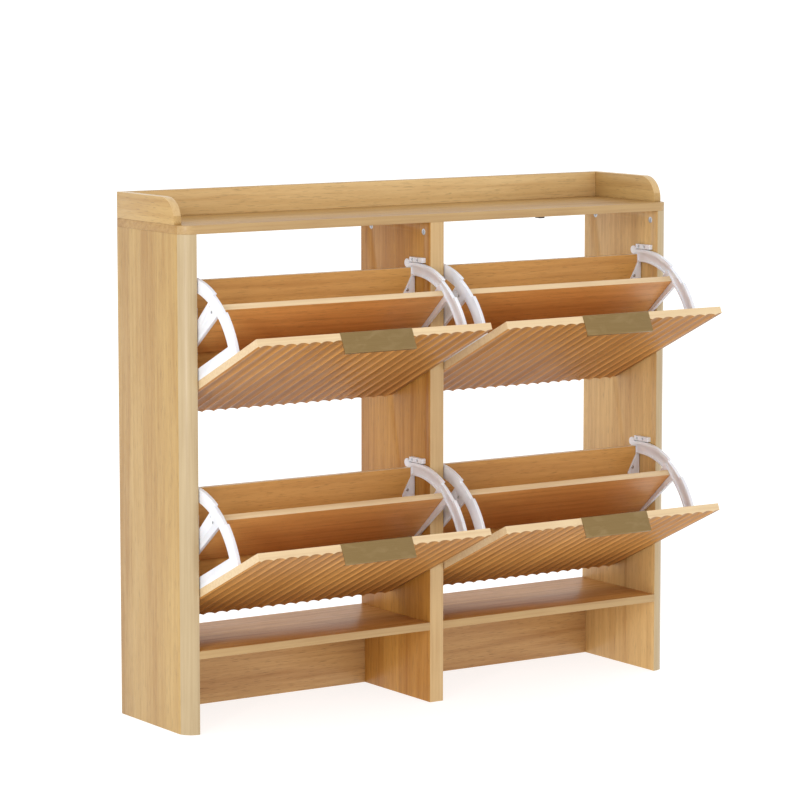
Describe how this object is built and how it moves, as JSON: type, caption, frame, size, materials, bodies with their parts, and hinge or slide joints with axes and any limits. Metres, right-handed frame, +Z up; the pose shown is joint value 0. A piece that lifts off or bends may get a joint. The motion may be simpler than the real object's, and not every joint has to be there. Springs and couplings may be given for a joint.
{
  "type": "shoe cabinet",
  "caption": "Slim free-standing shoe cabinet with fluted tip-out compartments on side frames, a low bottom shelf and a raised rail round the back and ends of its top.",
  "frame": {"origin": "on the floor, at the middle of the cabinet's width and depth, under the divider", "axes": "+X to the right as seen from the front, +Y to the back, +Z up"},
  "size_m": [1.106, 0.4583, 0.983],
  "materials": {
    "upright_oak": "light oak grain running upright, satin",
    "case_oak": "light oak grain running across, satin",
    "gallery_oak": "light oak grain running across, satin",
    "gallery_end_oak": "light oak grain running front to back, satin",
    "front_oak": "light oak, fluted, satin",
    "pocket_oak": "light oak grain running across, satin",
    "pull_bronze": "brushed antique bronze",
    "white_moulding": "white moulded plastic, satin",
    "zinc_steel": "zinc-plated",
    "dowel_beech": "plain beech",
    "catch_plastic": "dark moulded plastic"
  },
  "bodies": {
    "cabinet": {"left_side": "upright_oak", "right_side": "upright_oak", "divider": "upright_oak", "top_board": "case_oak", "left_rail": "gallery_end_oak", "right_rail": "gallery_end_oak", "back_rail": "gallery_oak", "left_shelf": "case_oak", "right_shelf": "case_oak", "left_plinth_board": "case_oak", "right_plinth_board": "case_oak", "upper_left_left_pin_plate": "white_moulding", "upper_left_left_stop": "white_moulding", "upper_left_right_pin_plate": "white_moulding", "upper_left_right_stop": "white_moulding", "upper_right_left_pin_plate": "white_moulding", "upper_right_left_stop": "white_moulding", "upper_right_right_pin_plate": "white_moulding", "upper_right_right_stop": "white_moulding", "lower_left_left_pin_plate": "white_moulding", "lower_left_left_stop": "white_moulding", "lower_left_right_pin_plate": "white_moulding", "lower_left_right_stop": "white_moulding", "lower_right_left_pin_plate": "white_moulding", "lower_right_left_stop": "white_moulding", "lower_right_right_pin_plate": "white_moulding", "lower_right_right_stop": "white_moulding", "hardware_screws": "zinc_steel", "cam_locks": "zinc_steel", "cam_bolts": "zinc_steel", "dowels": "dowel_beech", "top_catch": "catch_plastic"},
    "upper_left_compartment": {"upper_left_front": "front_oak", "upper_left_pull": "pull_bronze", "upper_left_mid_board": "pocket_oak", "upper_left_back_board": "pocket_oak", "upper_left_left_frame": "white_moulding", "upper_left_right_frame": "white_moulding", "upper_left_compartment_screws": "zinc_steel"},
    "upper_right_compartment": {"upper_right_front": "front_oak", "upper_right_pull": "pull_bronze", "upper_right_mid_board": "pocket_oak", "upper_right_back_board": "pocket_oak", "upper_right_left_frame": "white_moulding", "upper_right_right_frame": "white_moulding", "upper_right_compartment_screws": "zinc_steel"},
    "lower_left_compartment": {"lower_left_front": "front_oak", "lower_left_pull": "pull_bronze", "lower_left_mid_board": "pocket_oak", "lower_left_back_board": "pocket_oak", "lower_left_left_frame": "white_moulding", "lower_left_right_frame": "white_moulding", "lower_left_compartment_screws": "zinc_steel"},
    "lower_right_compartment": {"lower_right_front": "front_oak", "lower_right_pull": "pull_bronze", "lower_right_mid_board": "pocket_oak", "lower_right_back_board": "pocket_oak", "lower_right_left_frame": "white_moulding", "lower_right_right_frame": "white_moulding", "lower_right_compartment_screws": "zinc_steel"}
  },
  "joints": [
    {"name": "upper_left_tip", "type": "hinge", "parent": "cabinet", "child": "upper_left_compartment", "pos_m": [-0.269, -0.0815, 0.66], "axis": [1, 0, 0], "range_deg": [-65, 0]},
    {"name": "upper_right_tip", "type": "hinge", "parent": "cabinet", "child": "upper_right_compartment", "pos_m": [0.269, -0.0815, 0.66], "axis": [1, 0, 0], "range_deg": [-65, 0]},
    {"name": "lower_left_tip", "type": "hinge", "parent": "cabinet", "child": "lower_left_compartment", "pos_m": [-0.269, -0.0815, 0.278], "axis": [1, 0, 0], "range_deg": [-65, 0]},
    {"name": "lower_right_tip", "type": "hinge", "parent": "cabinet", "child": "lower_right_compartment", "pos_m": [0.269, -0.0815, 0.278], "axis": [1, 0, 0], "range_deg": [-65, 0]}
  ]
}
